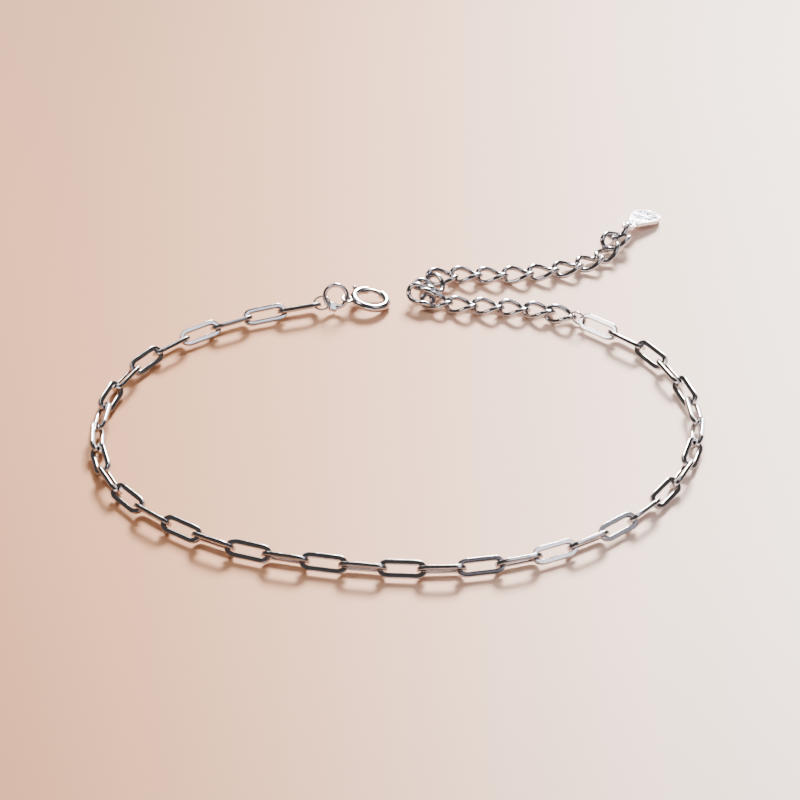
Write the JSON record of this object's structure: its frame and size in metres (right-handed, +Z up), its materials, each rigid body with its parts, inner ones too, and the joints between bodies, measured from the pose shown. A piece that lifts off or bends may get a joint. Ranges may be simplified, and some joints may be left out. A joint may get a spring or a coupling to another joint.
{
  "type": "chain bracelet",
  "caption": "Silver paperclip-link chain bracelet lying open, with a spring-ring clasp, a curb extension chain and a plain drop-shaped tag.",
  "frame": {"origin": "middle of the footprint, on the surface that the bracelet lies on", "axes": "+Z up, +Y from the near side of the loop towards the tag at the free end, +X to the right of that"},
  "size_m": [0.0678, 0.0748, 0.0032],
  "materials": {
    "polished_silver": "polished silver with fine scratches",
    "clasp_silver": "polished silver, a little duller",
    "tag_silver": "satin silver"
  },
  "bodies": {
    "bracelet": {"link_01": "polished_silver", "link_02": "polished_silver", "link_03": "polished_silver", "link_04": "polished_silver", "link_05": "polished_silver", "link_06": "polished_silver", "link_07": "polished_silver", "link_08": "polished_silver", "link_09": "polished_silver", "link_10": "polished_silver", "link_11": "polished_silver", "link_12": "polished_silver", "link_13": "polished_silver", "link_14": "polished_silver", "link_15": "polished_silver", "link_16": "polished_silver", "link_17": "polished_silver", "link_18": "polished_silver", "link_19": "polished_silver", "link_20": "polished_silver", "link_21": "polished_silver", "link_22": "polished_silver", "link_23": "polished_silver", "link_24": "polished_silver", "link_25": "polished_silver", "link_26": "polished_silver", "link_27": "polished_silver", "link_28": "polished_silver", "link_29": "polished_silver", "link_30": "polished_silver", "link_31": "polished_silver", "link_32": "polished_silver", "link_33": "polished_silver", "link_34": "polished_silver", "link_35": "polished_silver", "link_36": "polished_silver", "link_37": "polished_silver", "link_38": "polished_silver", "clasp_jump_ring": "clasp_silver", "clasp_ring": "clasp_silver", "spring_ring_body": "clasp_silver", "extension_jump_ring": "polished_silver", "extension_chain": "polished_silver", "tag": "tag_silver"},
    "bolt": {"spring_ring_bolt": "clasp_silver"}
  },
  "joints": [
    {"name": "bolt_slides_back", "type": "hinge", "parent": "bracelet", "child": "bolt", "pos_m": [-0.00322, 0.01673, 0.00094], "axis": [0.1736, 0, 0.9848], "range_deg": [0, 38], "stiffness_Nm_per_rad": 0.00002}
  ]
}
